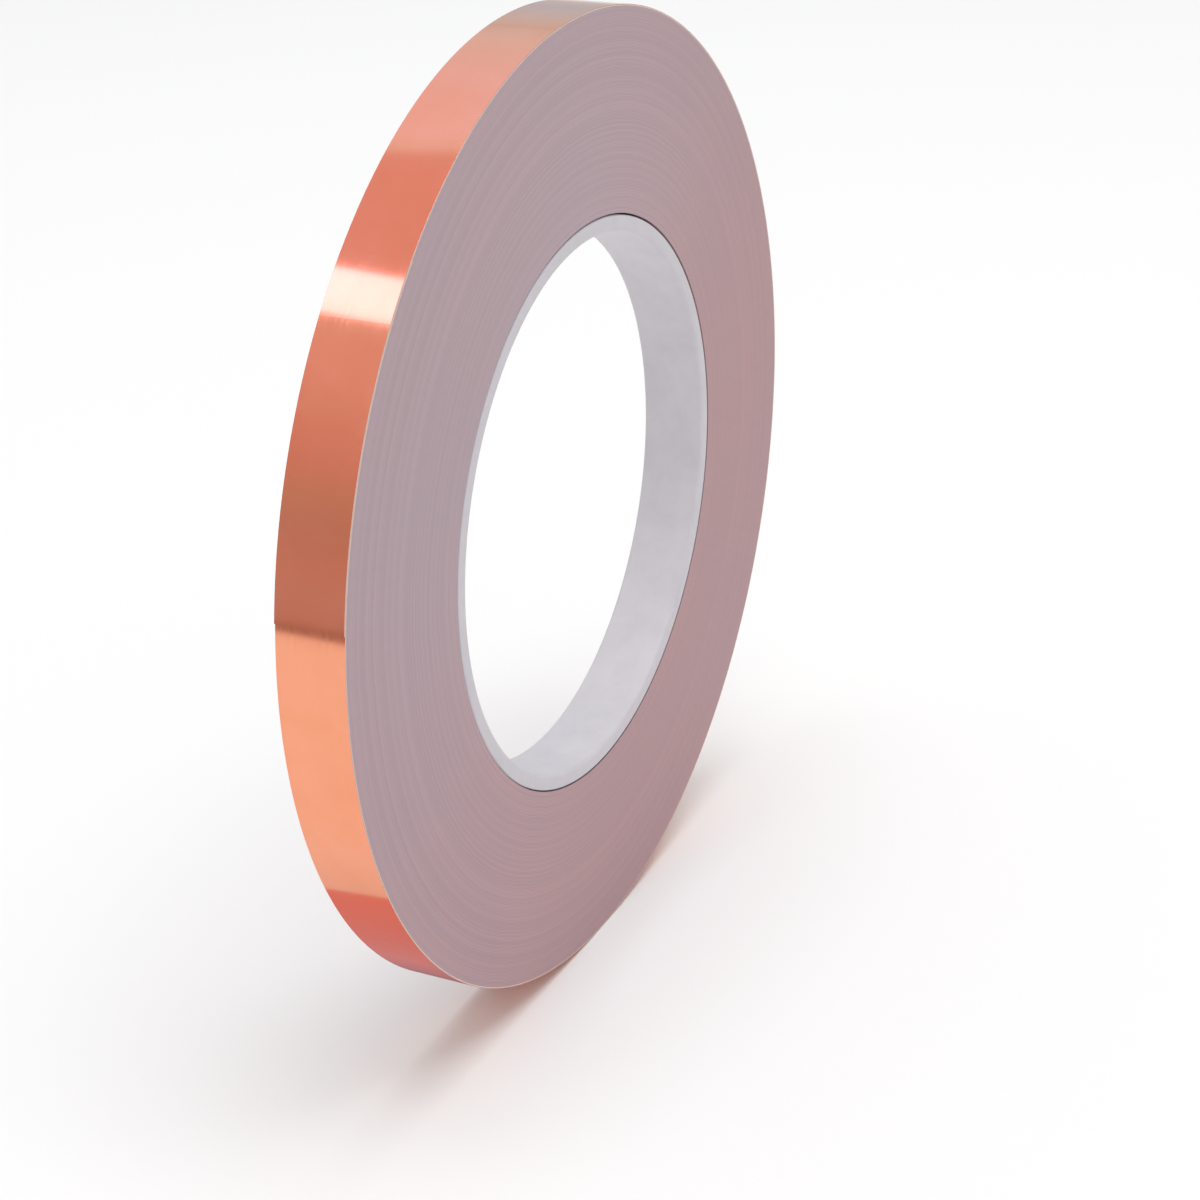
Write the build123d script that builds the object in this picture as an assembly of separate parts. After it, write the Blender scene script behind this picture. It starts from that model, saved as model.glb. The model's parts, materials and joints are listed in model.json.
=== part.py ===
from build123d import *
import math
import os

# A roll of copper foil tape for stained glass work, standing on its edge.
# Origin at the centre of the bore, bore axis along Y, +Z up, millimetres.

# Tape and core
TAPE_WIDTH = 6.35
FOIL = 0.032
ADHESIVE = 0.035
LINER = 0.062
PITCH = FOIL + ADHESIVE + LINER
BORE_RADIUS = 25.4
CORE_WALL = 1.5
CORE_INNER_ROUND = 0.35
CORE_OUTER_ROUND = 0.2

# Winding: the angle runs from +X over the top towards -X, full turns counted from the core
FIRST_TURN_PLAY = 0.02
FULL_TURNS = 143
TAIL_ROOT_ANGLE = 134.5
TAIL_END_ANGLE = 172.5
TAIL_PLAY = 0.04
PEEL_START = 7.0
PEEL_PLAY = 0.03

FIRST_RADIUS = BORE_RADIUS + CORE_WALL + FIRST_TURN_PLAY
ROOT = 360 * FULL_TURNS + TAIL_ROOT_ANGLE
END = 360 * FULL_TURNS + TAIL_END_ANGLE
LAST_TURN = ROOT - 360
PEEL = ROOT + PEEL_START
SIDE = Plane.XZ.offset(-TAPE_WIDTH / 2)


def turn_centre(half_turn):
    """Upper half turns are centred a quarter pitch towards -X, lower ones a quarter pitch towards +X."""
    return -PITCH / 4 if half_turn % 2 == 0 else PITCH / 4


def turn_radius(half_turn, rise):
    return FIRST_RADIUS + rise + PITCH / 4 + half_turn * PITCH / 2


def spiral(rise, start, end):
    """Tangent arcs of half a turn each, at a height above the winding's inner surface."""
    arcs = []
    for half_turn in range(int(start // 180), math.ceil(end / 180)):
        a = math.radians(max(start, 180 * half_turn))
        b = math.radians(min(end, 180 * (half_turn + 1)))
        c = turn_centre(half_turn)
        r = turn_radius(half_turn, rise)
        points = [(c + r * math.cos(t), r * math.sin(t)) for t in (a, (a + b) / 2, b)]
        arcs.append(ThreePointArc(*points))
    return arcs


def ribbon(rise, thickness, start, end):
    """One layer of the tape, wound from one angle to another and as wide as the tape."""
    low = spiral(rise, start, end)
    high = spiral(rise + thickness, start, end)
    first_edge = Line(low[0] @ 0, high[0] @ 0)
    last_edge = Line(low[-1] @ 1, high[-1] @ 1)
    outline = make_face(Wire(low + [last_edge] + high[::-1] + [first_edge]))
    return extrude(SIDE * outline, amount=TAPE_WIDTH)


def wound_turns():
    """The inner turns as one ring; its outside spirals out by one pitch to meet the outer turn's start."""
    outside = spiral(PITCH, LAST_TURN - 360, LAST_TURN)
    step = Line(outside[-1] @ 1, outside[0] @ 0)
    ring = make_face(Wire(outside + [step])) - Circle(FIRST_RADIUS)
    return extrude(SIDE * ring, amount=TAPE_WIDTH)


def core():
    """A thin-walled ring with its rims rounded over, flush with the tape on both sides."""
    section = Pos(BORE_RADIUS + CORE_WALL / 2, 0) * Rectangle(CORE_WALL, TAPE_WIDTH)
    inner = section.vertices().group_by(Axis.X)[0]
    section = fillet(inner, CORE_INNER_ROUND)
    outer = section.vertices().group_by(Axis.X)[-1]
    section = fillet(outer, CORE_OUTER_ROUND)
    return revolve(section, Axis.Y)


# The three layers, from the core outwards: paper liner, adhesive, copper foil
LINER_RISE = 0
ADHESIVE_RISE = LINER
FOIL_RISE = LINER + ADHESIVE

nodes = {"core": core(), "wound_turns": wound_turns()}

nodes["liner_outer_turn"] = ribbon(LINER_RISE, LINER, LAST_TURN, ROOT)
nodes["adhesive_outer_turn"] = ribbon(ADHESIVE_RISE, ADHESIVE, LAST_TURN, ROOT)
nodes["foil_outer_turn"] = ribbon(FOIL_RISE, FOIL, LAST_TURN, ROOT)

# The free end: the liner carries on to the cut, the foil and its adhesive part from it at the peel line
nodes["liner_tail"] = ribbon(LINER_RISE + TAIL_PLAY, LINER, ROOT, END)
nodes["adhesive_tail"] = ribbon(ADHESIVE_RISE + TAIL_PLAY, ADHESIVE, ROOT, PEEL)
nodes["foil_tail"] = ribbon(FOIL_RISE + TAIL_PLAY, FOIL, ROOT, PEEL)
nodes["adhesive_flap"] = ribbon(ADHESIVE_RISE + TAIL_PLAY + PEEL_PLAY, ADHESIVE, PEEL, END)
nodes["foil_flap"] = ribbon(FOIL_RISE + TAIL_PLAY + PEEL_PLAY, FOIL, PEEL, END)

os.makedirs("parts", exist_ok=True)
for name, solid in nodes.items():
    export_step(solid, "parts/" + name + ".step")

# Hinge lines of the free end: the tail turns about its outer edge at the root, the flap about its own
top = 2 * FULL_TURNS
for name, angle, rise in (
    ("tail hinge", TAIL_ROOT_ANGLE, PITCH + TAIL_PLAY),
    ("flap hinge", TAIL_ROOT_ANGLE + PEEL_START, PITCH + TAIL_PLAY + PEEL_PLAY),
):
    r = turn_radius(top, rise)
    x = turn_centre(top) + r * math.cos(math.radians(angle))
    z = r * math.sin(math.radians(angle))
    print(name, round(x, 4), 0, round(z, 4))
length = sum(math.pi * turn_radius(k, PITCH / 2) for k in range(2 * FULL_TURNS))
print("outer radius", round(turn_radius(top, PITCH), 3))
print("tape length", round(length))
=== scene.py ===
import bpy
import json
import math
from mathutils import Matrix, Vector


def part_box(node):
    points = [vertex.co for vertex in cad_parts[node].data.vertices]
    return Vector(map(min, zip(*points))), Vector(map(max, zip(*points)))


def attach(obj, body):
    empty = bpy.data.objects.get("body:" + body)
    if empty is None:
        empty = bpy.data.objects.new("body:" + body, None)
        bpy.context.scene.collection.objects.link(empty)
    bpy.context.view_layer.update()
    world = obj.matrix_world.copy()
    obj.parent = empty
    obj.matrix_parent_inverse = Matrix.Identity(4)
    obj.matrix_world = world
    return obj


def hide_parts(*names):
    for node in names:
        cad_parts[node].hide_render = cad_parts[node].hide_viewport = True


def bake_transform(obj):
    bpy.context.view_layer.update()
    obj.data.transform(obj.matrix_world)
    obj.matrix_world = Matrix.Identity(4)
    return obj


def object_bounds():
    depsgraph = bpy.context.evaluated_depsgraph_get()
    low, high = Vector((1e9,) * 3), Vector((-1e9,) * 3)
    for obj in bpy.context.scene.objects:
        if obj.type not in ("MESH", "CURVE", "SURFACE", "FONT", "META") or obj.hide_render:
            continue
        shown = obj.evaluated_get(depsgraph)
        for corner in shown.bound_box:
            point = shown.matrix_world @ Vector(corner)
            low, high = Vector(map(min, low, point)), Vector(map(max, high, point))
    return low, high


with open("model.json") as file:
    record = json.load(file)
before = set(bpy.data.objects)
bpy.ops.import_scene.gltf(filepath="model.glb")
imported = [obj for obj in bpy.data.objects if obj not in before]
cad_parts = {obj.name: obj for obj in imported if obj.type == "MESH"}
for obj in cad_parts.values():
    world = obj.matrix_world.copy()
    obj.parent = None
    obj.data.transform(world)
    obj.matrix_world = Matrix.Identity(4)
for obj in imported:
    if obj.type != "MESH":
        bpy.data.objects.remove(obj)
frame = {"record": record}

cad_low, cad_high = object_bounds()
MM = 0.001

# the core
core_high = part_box("core")[1]
HALF_WIDTH = core_high.y                # half the tape's width, and half the core's length
BORE = frame["record"]["mounts"][0]["dims"]["r_mm"] * MM
CORE_OUT = core_high.x
BORE_ROUND, RIM_ROUND = 0.35 * MM, 0.2 * MM

# the tape: paper liner inside, then adhesive, then copper foil outside
LINER, ADHESIVE, FOIL = 0.062 * MM, 0.035 * MM, 0.032 * MM
PITCH = LINER + ADHESIVE + FOIL
FOIL_BASE = LINER + ADHESIVE
EASED = 0.012 * MM                      # how far the foil's cut edges are rounded
LINER_SHY, ADHESIVE_SHY = 0.004 * MM, 0.03 * MM     # how far each stops short of the foil's edge

# winding angles in degrees, from +X over the top: newest turn, tail's root, peel line, cut end
START, ROOT, PEEL, END = -225.5, 134.5, 141.5, 172.5
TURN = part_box("foil_outer_turn")[1].z - PITCH       # inner radius of the newest turn over the top
TURNS_BELOW = 142
RIDGE = 0.012 * MM                      # how deep the groove beside each ridge of the side faces is
SIDE_SHY = 0.006 * MM

# the free end lies a hair above the turn under it
LIFT = 0.01 * MM


def turn_radius(half_turn, rise):
    """Radius of one half turn of the spiral, a given rise above the inside of the tape."""
    return TURN + rise + half_turn * PITCH / 2


def turn_centre(half_turn):
    """The spiral is half circles end to end, centred a quarter pitch to -X over the top and to +X below."""
    return (-PITCH / 4 if half_turn % 2 == 0 else PITCH / 4, 0, 0)


# ---------------------------------------------------------------- hand tools

def edit(obj):
    bpy.ops.object.select_all(action="DESELECT")
    obj.select_set(True)
    bpy.context.view_layer.objects.active = obj
    bpy.ops.object.mode_set(mode="EDIT")


def leave():
    bpy.ops.object.mode_set(mode="OBJECT")


def pick_verts(obj, test):
    """Selects the vertices of obj that pass test, in edit mode."""
    bpy.ops.mesh.select_mode(type="VERT")
    bpy.ops.mesh.select_all(action="DESELECT")
    leave()
    for v in obj.data.vertices:
        v.select = test(v.co)
    bpy.ops.object.mode_set(mode="EDIT")


def pick_edges(obj, test):
    """Selects the edges of obj whose two ends pass test, in edit mode."""
    bpy.ops.mesh.select_mode(type="EDGE")
    bpy.ops.mesh.select_all(action="DESELECT")
    leave()
    for e in obj.data.edges:
        e.select = test(*(obj.data.vertices[i].co for i in e.vertices))
    bpy.ops.object.mode_set(mode="EDIT")


def section(name, low, high, half_width, centre_x=0.0):
    """A flat rectangle on the +X axis: a cut across the winding, between two radii about its centre."""
    bpy.ops.object.select_all(action="DESELECT")
    bpy.ops.mesh.primitive_plane_add(size=1, location=(0, 0, 0))
    obj = bpy.context.object
    obj.name = name
    obj.data.name = name
    edit(obj)
    bpy.ops.mesh.select_all(action="SELECT")
    bpy.ops.transform.resize(value=(high - low, 2 * half_width, 1))
    bpy.ops.transform.translate(value=((low + high) / 2 + centre_x, 0, 0))
    return obj


def wind(start, end, per_degree):
    """Turns the selected section from one winding angle to another, changing centre every half turn."""
    first = math.floor(start / 180)
    bpy.ops.transform.rotate(value=math.radians(start), orient_axis="Y", orient_type="GLOBAL",
                             center_override=turn_centre(first))
    for half_turn in range(first, math.ceil(end / 180)):
        a, b = max(start, 180 * half_turn), min(end, 180 * (half_turn + 1))
        bpy.ops.mesh.spin(steps=max(2, round((b - a) * per_degree)), angle=math.radians(b - a),
                          center=turn_centre(half_turn), axis=(0, 1, 0))


def close_up(gap=0.002 * MM):
    """Merges what meets and turns every face outwards."""
    bpy.ops.mesh.select_all(action="SELECT")
    bpy.ops.mesh.remove_doubles(threshold=gap)
    bpy.ops.mesh.normals_make_consistent(inside=False)
    leave()


def smooth(obj, degrees=35):
    bpy.ops.object.select_all(action="DESELECT")
    obj.select_set(True)
    bpy.context.view_layer.objects.active = obj
    bpy.ops.object.shade_smooth_by_angle(angle=math.radians(degrees))


def ripple(obj, size, strength):
    """Pushes the surface in by a few thousandths of a millimetre, as wound foil never lies dead true."""
    waves = bpy.data.textures.new(obj.name + "_ripple", "CLOUDS")
    waves.noise_scale = size
    waves.noise_depth = 1
    push = obj.modifiers.new("ripple", "DISPLACE")
    push.texture = waves
    push.texture_coords = "LOCAL"
    push.strength = strength
    push.mid_level = 1.0
    bpy.ops.object.select_all(action="DESELECT")
    obj.select_set(True)
    bpy.context.view_layer.objects.active = obj
    bpy.ops.object.modifier_apply(modifier=push.name)


# ---------------------------------------------------------------- materials

def material(name):
    mat = bpy.data.materials.new(name)
    mat.use_nodes = True
    return mat, mat.node_tree.nodes, mat.node_tree.links, mat.node_tree.nodes["Principled BSDF"]


def math_node(nodes, links, kind, a, b=None, c=None):
    n = nodes.new("ShaderNodeMath")
    n.operation = kind
    for i, x in enumerate((a, b, c)):
        if x is None:
            continue
        if isinstance(x, (int, float)):
            n.inputs[i].default_value = x
        else:
            links.new(x, n.inputs[i])
    return n.outputs[0]


def noise(nodes, links, vector, scale, detail=3, rough=0.5):
    n = nodes.new("ShaderNodeTexNoise")
    n.inputs["Scale"].default_value = scale
    n.inputs["Detail"].default_value = detail
    n.inputs["Roughness"].default_value = rough
    links.new(vector, n.inputs["Vector"])
    return n.outputs["Fac"]


def ramp(nodes, links, fac, stops):
    """Colours, or greys for a plain value, spread over a factor."""
    r = nodes.new("ShaderNodeValToRGB")
    els = r.color_ramp.elements
    while len(els) < len(stops):
        els.new(0.5)
    for e, (at, colour) in zip(els, stops):
        e.position = at
        e.color = (*colour, 1)
    links.new(fac, r.inputs[0])
    return r.outputs[0]


def mix(nodes, links, fac, a, b, blend="MIX"):
    m = nodes.new("ShaderNodeMix")
    m.data_type = "RGBA"
    m.blend_type = blend
    for i, x in ((0, fac), (6, a), (7, b)):
        if isinstance(x, (int, float)):
            m.inputs[i].default_value = x
        elif isinstance(x, tuple):
            m.inputs[i].default_value = (*x, 1)
        else:
            links.new(x, m.inputs[i])
    return m.outputs[2]


def bump(nodes, links, shader, height, strength, distance):
    b = nodes.new("ShaderNodeBump")
    b.inputs["Strength"].default_value = strength
    b.inputs["Distance"].default_value = distance
    links.new(height, b.inputs["Height"])
    links.new(b.outputs[0], shader.inputs["Normal"])


def polar(nodes, links):
    """Object coordinates, and then the same as radius, angle in turns and y."""
    at = nodes.new("ShaderNodeTexCoord").outputs["Object"]
    split = nodes.new("ShaderNodeSeparateXYZ")
    links.new(at, split.inputs[0])
    x, y, z = split.outputs
    r2 = math_node(nodes, links, "ADD", math_node(nodes, links, "MULTIPLY", x, x),
                   math_node(nodes, links, "MULTIPLY", z, z))
    radius = math_node(nodes, links, "SQRT", r2)
    angle = math_node(nodes, links, "DIVIDE", math_node(nodes, links, "ARCTAN2", z, x), 2 * math.pi)
    return at, radius, angle, y


def copper_material():
    mat, nodes, links, shader = material("copper_foil")
    at, _, angle, y = polar(nodes, links)
    # fine rolling lines along the tape: high frequency across it, stretched along it
    lines = nodes.new("ShaderNodeCombineXYZ")
    links.new(math_node(nodes, links, "MULTIPLY", y, 9000), lines.inputs[0])
    links.new(math_node(nodes, links, "MULTIPLY", angle, 14), lines.inputs[1])
    rolled = noise(nodes, links, lines.outputs[0], 1.0, 3)
    cloud = noise(nodes, links, at, 160, 4, 0.6)
    shade = ramp(nodes, links, cloud, [(0.3, (0.90, 0.345, 0.195)), (0.7, (0.93, 0.385, 0.235))])
    links.new(mix(nodes, links, math_node(nodes, links, "MULTIPLY", rolled, 0.10), shade,
                  (0.80, 0.28, 0.17)), shader.inputs["Base Color"])
    shader.inputs["Metallic"].default_value = 1.0
    rough = ramp(nodes, links, rolled, [(0.25, (0.07,) * 3), (0.75, (0.125,) * 3)])
    links.new(rough, shader.inputs["Roughness"])
    bump(nodes, links, shader, rolled, 0.05, 0.01 * MM)
    return mat


def edges_material():
    """The flush edges of many turns: paper, adhesive and copper repeating at every pitch, each painted darker
    with the shade between the layers.
    """
    mat, nodes, links, shader = material("tape_edges")
    at, radius, angle, _ = polar(nodes, links)
    turns = math_node(nodes, links, "SUBTRACT",
                      math_node(nodes, links, "DIVIDE",
                                math_node(nodes, links, "SUBTRACT", radius, CORE_OUT), PITCH), angle)
    layer = math_node(nodes, links, "FRACT", turns)
    number = math_node(nodes, links, "FLOOR", turns)
    which = nodes.new("ShaderNodeTexWhiteNoise")
    which.noise_dimensions = "1D"
    links.new(number, which.inputs["W"])
    # paper, adhesive and copper by layer, each painted darker than the bare material as painted shade between
    # the layers
    layer_colours_and_shade = ramp(nodes, links, layer, [
        (0.0, (0.47, 0.355, 0.395)), (0.42, (0.455, 0.35, 0.385)), (0.50, (0.35, 0.255, 0.285)),
        (0.70, (0.36, 0.255, 0.28)), (0.78, (0.60, 0.315, 0.295)), (1.0, (0.53, 0.32, 0.31))])
    vary = ramp(nodes, links, which.outputs["Value"], [(0.0, (0.90,) * 3), (1.0, (1.08,) * 3)])
    cloud = noise(nodes, links, at, 45, 4, 0.6)
    tint = ramp(nodes, links, cloud, [(0.3, (0.97, 0.985, 1.01)), (0.7, (1.03, 1.0, 0.985))])
    # painted reflection: the colour is painted pinker opposite the tail's side of the top, as the reflection
    # of a pink surface below the roll, and paler on the tail's side
    facing_tail_side = math_node(nodes, links, "COSINE", math_node(nodes, links, "SUBTRACT", math_node(
        nodes, links, "MULTIPLY", angle, 2 * math.pi), math.radians(125)))
    painted_reflection_tint = ramp(nodes, links, math_node(nodes, links, "MULTIPLY_ADD", facing_tail_side, 0.5, 0.5),
                    [(0.0, (0.98, 0.895, 0.905)), (0.5, (0.99, 0.94, 0.94)), (0.9, (1.0, 1.06, 1.08))])
    colour = mix(nodes, links, 1.0, mix(nodes, links, 1.0, layer_colours_and_shade, vary, "MULTIPLY"), tint, "MULTIPLY")
    colour = mix(nodes, links, 1.0, colour, painted_reflection_tint, "MULTIPLY")
    links.new(colour, shader.inputs["Base Color"])
    shader.inputs["Metallic"].default_value = 0.25
    links.new(ramp(nodes, links, which.outputs["Value"], [(0.0, (0.36,) * 3), (1.0, (0.5,) * 3)]),
              shader.inputs["Roughness"])
    bump(nodes, links, shader, layer, 0.15, 0.02 * MM)
    return mat


def paper_material():
    mat, nodes, links, shader = material("liner_paper")
    at = nodes.new("ShaderNodeTexCoord").outputs["Object"]
    fibre = noise(nodes, links, at, 2600, 5, 0.7)
    links.new(ramp(nodes, links, fibre, [(0.3, (0.70, 0.64, 0.62)), (0.7, (0.80, 0.75, 0.73))]),
              shader.inputs["Base Color"])
    links.new(ramp(nodes, links, fibre, [(0.2, (0.5,) * 3), (0.8, (0.68,) * 3)]), shader.inputs["Roughness"])
    bump(nodes, links, shader, fibre, 0.15, 0.02 * MM)
    return mat


def adhesive_material():
    mat, nodes, links, shader = material("adhesive")
    at = nodes.new("ShaderNodeTexCoord").outputs["Object"]
    coat = noise(nodes, links, at, 700, 4, 0.6)
    links.new(ramp(nodes, links, coat, [(0.3, (0.58, 0.38, 0.28)), (0.7, (0.66, 0.45, 0.34))]),
              shader.inputs["Base Color"])
    links.new(ramp(nodes, links, coat, [(0.2, (0.22,) * 3), (0.8, (0.36,) * 3)]), shader.inputs["Roughness"])
    shader.inputs["Metallic"].default_value = 0.35
    bump(nodes, links, shader, coat, 0.12, 0.03 * MM)
    return mat


def core_material():
    mat, nodes, links, shader = material("core_plastic")
    at = nodes.new("ShaderNodeTexCoord").outputs["Object"]
    mottle = noise(nodes, links, at, 330, 5, 0.65)
    grain = noise(nodes, links, at, 4200, 2, 0.5)
    # white plastic with a random mottle, painted light grey all over: the grey is painted shade standing in
    # for the shade inside the bore
    links.new(ramp(nodes, links, mottle, [(0.3, (0.585, 0.56, 0.595)), (0.7, (0.645, 0.615, 0.65))]),
              shader.inputs["Base Color"])
    links.new(ramp(nodes, links, mottle, [(0.2, (0.42,) * 3), (0.8, (0.55,) * 3)]),
              shader.inputs["Roughness"])
    bump(nodes, links, shader, mix(nodes, links, 0.3, mottle, grain), 0.12, 0.05 * MM)
    return mat


# ---------------------------------------------------------------- the roll

def core_ring(mat):
    """Thin-walled core: a rectangle with its four corners rounded over, spun round the axis."""
    core = section("core_ring", BORE, CORE_OUT, HALF_WIDTH)
    pick_verts(core, lambda co: co.x < (BORE + CORE_OUT) / 2)
    bpy.ops.mesh.bevel(offset=BORE_ROUND, segments=6, affect="VERTICES", offset_type="OFFSET", profile=0.5)
    pick_verts(core, lambda co: co.x > CORE_OUT - 0.01 * MM)
    bpy.ops.mesh.bevel(offset=RIM_ROUND, segments=4, affect="VERTICES", offset_type="OFFSET", profile=0.5)
    bpy.ops.mesh.select_all(action="SELECT")
    bpy.ops.mesh.delete(type="ONLY_FACE")
    bpy.ops.mesh.select_all(action="SELECT")
    bpy.ops.mesh.spin(steps=200, angle=2 * math.pi, center=(0, 0, 0), axis=(0, -1, 0))
    close_up()
    core.data.materials.append(mat)
    smooth(core)
    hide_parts("core")
    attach(core, "roll")


def wound_edges(mat):
    """All the turns under the newest one, as shallow ridges that wind outwards by one pitch a turn."""
    centre_x = turn_centre(-2)[0]
    high = turn_radius(-4, PITCH)
    low = high - TURNS_BELOW * PITCH
    ring = section("wound_edges", low, high, HALF_WIDTH - SIDE_SHY, centre_x)
    # 2 * 142 strips across the section, cut in two goes because one cut makes at most 100
    for parts in (TURNS_BELOW // 2, 4):
        pick_edges(ring, lambda a, b: abs(a.y - b.y) < 0.001 * MM)
        bpy.ops.mesh.subdivide(number_cuts=parts - 1)
    pick_edges(ring, lambda a, b: abs(a.y - b.y) > MM
               and low + 0.01 * MM < a.x - centre_x < high - 0.02 * MM)
    bpy.ops.mesh.delete(type="EDGE")
    for side in (-1, 1):
        pick_verts(ring, lambda co: co.y * side > 0 and round((co.x - centre_x - low) / (PITCH / 2)) % 2 == 1)
        bpy.ops.transform.translate(value=(0, -side * RIDGE, 0))
    bpy.ops.mesh.select_all(action="SELECT")
    wind(START, ROOT, 160 / 360)
    bpy.ops.mesh.select_all(action="SELECT")
    bpy.ops.mesh.remove_doubles(threshold=0.003 * MM)
    bpy.ops.mesh.select_all(action="SELECT")
    bpy.ops.mesh.fill_holes(sides=0)
    close_up()
    ring.data.materials.append(mat)
    smooth(ring)
    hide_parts("wound_turns")
    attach(ring, "roll")


def tape_layer(name, low, high, start, end, per_degree, mat, inset=0.0, foil=False, lift=0.0):
    """One layer of the tape from one winding angle to another."""
    first = math.floor(start / 180)
    strip = section(name, turn_radius(first, low + lift), turn_radius(first, high + lift), HALF_WIDTH - inset,
                    turn_centre(first)[0])
    if foil:
        bpy.ops.mesh.select_all(action="SELECT")
        bpy.ops.mesh.bevel(offset=EASED, segments=3, affect="VERTICES")
        pick_edges(strip, lambda a, b: abs(a.y - b.y) > MM)
        bpy.ops.mesh.subdivide(number_cuts=7)
    bpy.ops.mesh.select_all(action="SELECT")
    wind(start, end, per_degree)
    close_up(0.0005 * MM)
    strip.data.materials.append(mat)
    smooth(strip, 15)
    return strip


def newest_turn():
    """The outermost turn of tape, fixed to the roll, as three layers."""
    liner = tape_layer("liner_turn", 0, LINER, START, ROOT, 0.6, paper, LINER_SHY)
    glue = tape_layer("adhesive_turn", LINER, FOIL_BASE, START, ROOT, 0.6, adhesive, ADHESIVE_SHY)
    foil = tape_layer("copper_turn", FOIL_BASE, PITCH, START, ROOT, 1.0, copper, foil=True)
    ripple(foil, 7 * MM, 0.009 * MM)
    for piece, node in (
        (liner, "liner_outer_turn"), (glue, "adhesive_outer_turn"), (foil, "foil_outer_turn"),
    ):
        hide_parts(node)
        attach(piece, "roll")


def free_end():
    """The tail, lifted a hair off the roll. Its foil and adhesive are cut in two at the peel line across it.
    """
    liner = tape_layer("liner_end", 0, LINER, ROOT, END, 4, paper, LINER_SHY, lift=LIFT)
    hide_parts("liner_tail")
    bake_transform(liner)
    for name, low, high, mat, slot, inset, is_foil, root_node, end_node in (
        ("adhesive", LINER, FOIL_BASE, adhesive, "adhesive", ADHESIVE_SHY, False,
         "adhesive_tail", "adhesive_flap"),
        ("copper", FOIL_BASE, PITCH, copper, "copper_foil", 0, True,
         "foil_tail", "foil_flap"),
    ):
        root_piece = tape_layer(name + "_root", low, high, ROOT, PEEL, 4, mat, inset, is_foil, LIFT)
        end_piece = tape_layer(name + "_end", low, high, PEEL, END, 4, mat, inset, is_foil, LIFT)
        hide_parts(root_node)
        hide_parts(end_node)
        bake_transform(root_piece)
        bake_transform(end_piece)


copper = copper_material()
edges = edges_material()
paper = paper_material()
adhesive = adhesive_material()
plastic = core_material()

core_ring(plastic)
wound_edges(edges)
newest_turn()
free_end()


# ---------------------------------------------------------------- studio

def table_material():
    mat, _, _, shader = material("floor")
    shader.inputs["Base Color"].default_value = (0.93, 0.93, 0.93, 1)
    shader.inputs["Roughness"].default_value = 0.9
    shader.inputs["Specular IOR Level"].default_value = 0.1
    return mat


def card(name, azimuth, elevation, distance, width, height, stops, aim):
    """A reflector facing the roll, seen only in reflections. stops shade it from its foot to its top."""
    a, e = math.radians(azimuth), math.radians(elevation)
    away = Vector((math.cos(a) * math.cos(e), math.sin(a) * math.cos(e), math.sin(e)))
    bpy.ops.mesh.primitive_plane_add(size=1)
    obj = bpy.context.object
    obj.name = name
    obj.scale = (width, height, 1)
    obj.location = Vector(aim) + away * distance
    obj.rotation_euler = away.to_track_quat("Z", "Y").to_euler()
    mat, nodes, links, shader = material(name)
    shader.inputs["Base Color"].default_value = (0, 0, 0, 1)
    shader.inputs["Specular IOR Level"].default_value = 0
    split = nodes.new("ShaderNodeSeparateXYZ")
    links.new(nodes.new("ShaderNodeTexCoord").outputs["Object"], split.inputs[0])
    links.new(ramp(nodes, links, math_node(nodes, links, "ADD", split.outputs[1], 0.5), stops),
              shader.inputs["Emission Color"])
    shader.inputs["Emission Strength"].default_value = 1.0
    obj.data.materials.append(mat)
    obj.visible_camera = False
    obj.visible_diffuse = False
    obj.visible_shadow = False
    return obj


def table(height):
    bpy.ops.mesh.primitive_plane_add(size=6, location=(0, 0, height))
    top = bpy.context.object
    top.name = "floor"
    top.data.materials.append(table_material())


def room_light(strength):
    world = bpy.data.worlds.new("studio")
    bpy.context.scene.world = world
    world.use_nodes = True
    world.node_tree.nodes["Background"].inputs[0].default_value = (1, 1, 1, 1)
    world.node_tree.nodes["Background"].inputs[1].default_value = strength


def lamp(name, at, size, radiance):
    """A square soft light looking at the roll."""
    light = bpy.data.lights.new(name, "AREA")
    light.shape = "SQUARE"
    light.size = size
    light.energy = radiance * math.pi * size * size
    obj = bpy.data.objects.new(name, light)
    bpy.context.scene.collection.objects.link(obj)
    obj.location = at
    obj.rotation_euler = (-Vector(at)).to_track_quat("-Z", "Y").to_euler()


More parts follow.
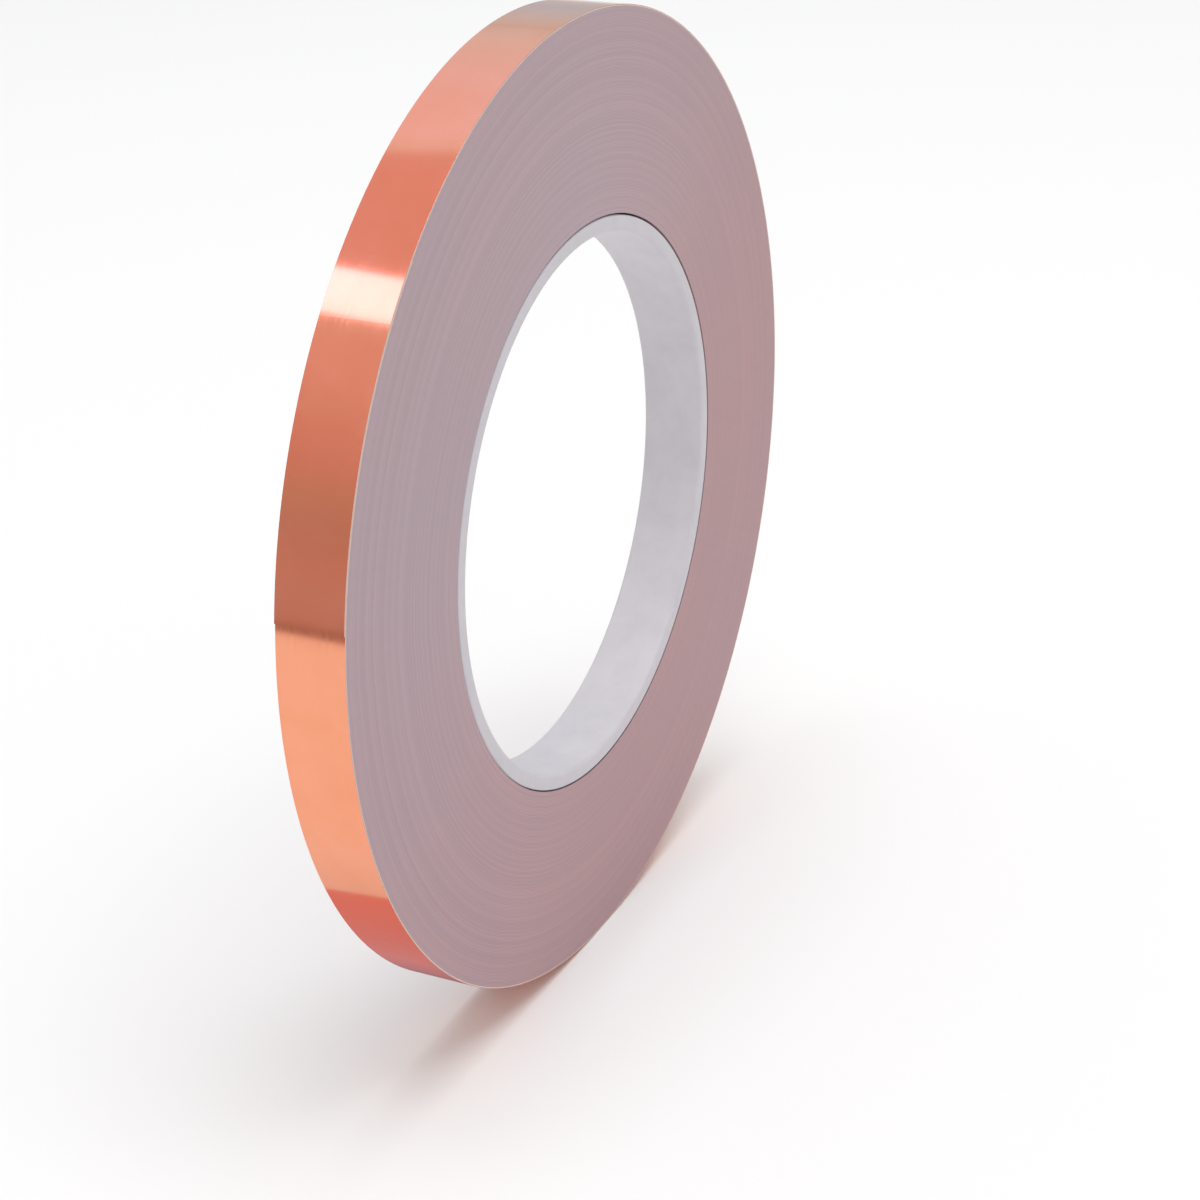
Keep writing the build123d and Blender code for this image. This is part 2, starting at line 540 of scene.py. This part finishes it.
def reflectors(table_z):
    """What the foil mirrors, from the top of the band down to its foot."""
    middle = (-30 * MM, 0, 20 * MM)
    card("back_sheet", 40, 45.0, 0.7, 0.64, 0.48, [
        (0, (0.68, 0.80, 0.84)), (0.17, (0.78, 0.92, 1.06)), (0.53, (0.89, 0.95, 1.2)),
        (0.9, (0.95, 1.0, 1.3)), (1, (0.88, 0.93, 1.05))], middle)
    card("low_back_sheet", 28, 0, 0.75, 0.5, 0.334, [
        (0.0, (0.54, 0.62, 0.64)), (0.3, (0.52, 0.65, 0.74)), (0.45, (0.55, 0.72, 0.85)),
        (0.75, (0.61, 0.79, 0.87)), (1.0, (0.66, 0.80, 0.86))], (-0.005, 0, 0.212))
    card("ceiling_sheet", 98, 66, 0.75, 0.44, 0.30, [
        (0, (0.82, 0.62, 0.70)), (1, (0.82, 0.62, 0.70))], middle)
    window = card("window", 127, 50.0, 0.6, 0.40, 0.098, [
        (0, (2.9, 2.4, 3.4)), (1, (2.9, 2.45, 3.6))], middle)
    window.rotation_euler.rotate_axis("Z", math.radians(25))

    side_top = 0.32
    card("side_sheet", 149, 0, 0.267, 0.36, side_top - table_z, [
        (0.0, (0.54, 0.42, 0.43)), (0.075, (0.56, 0.44, 0.45)), (0.14, (0.58, 0.45, 0.46)),
        (0.278, (0.53, 0.43, 0.42)), (0.36, (0.57, 0.46, 0.43)), (0.442, (0.65, 0.48, 0.49)),
        (0.55, (0.72, 0.52, 0.55)), (0.644, (0.74, 0.60, 0.62)), (0.743, (0.80, 0.63, 0.69)),
        (1.0, (0.80, 0.68, 0.70))], (-0.045, 0, (side_top + table_z) / 2))
    # two cards lie on the table, seen only in the foil: a narrow dark line of painted shadow before the side
    # sheet, and painted shade with a painted pink reflection round the roll's foot
    lip = card("side_lip_shade", 0, 90, 0.0, 0.13, 0.062, [
        (0, (0.46, 0.31, 0.30)), (0.6, (0.37, 0.25, 0.235)), (1, (0.40, 0.27, 0.25))],
               (-0.259, 0.118, table_z + 0.3 * MM))
    lip.rotation_euler = (0, 0, math.radians(-90))
    foot = card("foot_shade_sheet", 0, 90, 0.0, 0.016, 0.040, [
        (0, (0.76, 0.38, 0.40)), (0.45, (0.62, 0.33, 0.36)), (0.7, (0.28, 0.14, 0.15)),
        (1, (0.10, 0.05, 0.05))], (-0.0222, 0.0094, table_z + 0.2 * MM))
    foot.rotation_euler = (0, 0, math.radians(-102))


def camera_at(place, forward, right, lens):
    data = bpy.data.cameras.new("camera")
    data.sensor_width = 36
    data.lens = lens
    data.clip_start, data.clip_end = 0.005, 20
    camera = bpy.data.objects.new("camera", data)
    bpy.context.scene.collection.objects.link(camera)
    forward = Vector(forward).normalized()
    right = Vector(right)
    right = (right - forward * right.dot(forward)).normalized()
    up = right.cross(forward)
    camera.matrix_world = Matrix((
        (right.x, up.x, -forward.x, place[0]),
        (right.y, up.y, -forward.y, place[1]),
        (right.z, up.z, -forward.z, place[2]),
        (0, 0, 0, 1)))
    bpy.context.scene.camera = camera


table(cad_low.z)
room_light(0.62)
lamp("overhead", (-0.1, -0.2, 1.6), 1.2, 3.4)
reflectors(cad_low.z)
camera_at((-0.1957, -0.0970, 0.0880), (0.8228, 0.393, -0.410), (0.4248, -0.905, -0.016), 75.57)
bpy.context.scene.view_settings.view_transform = "Standard"
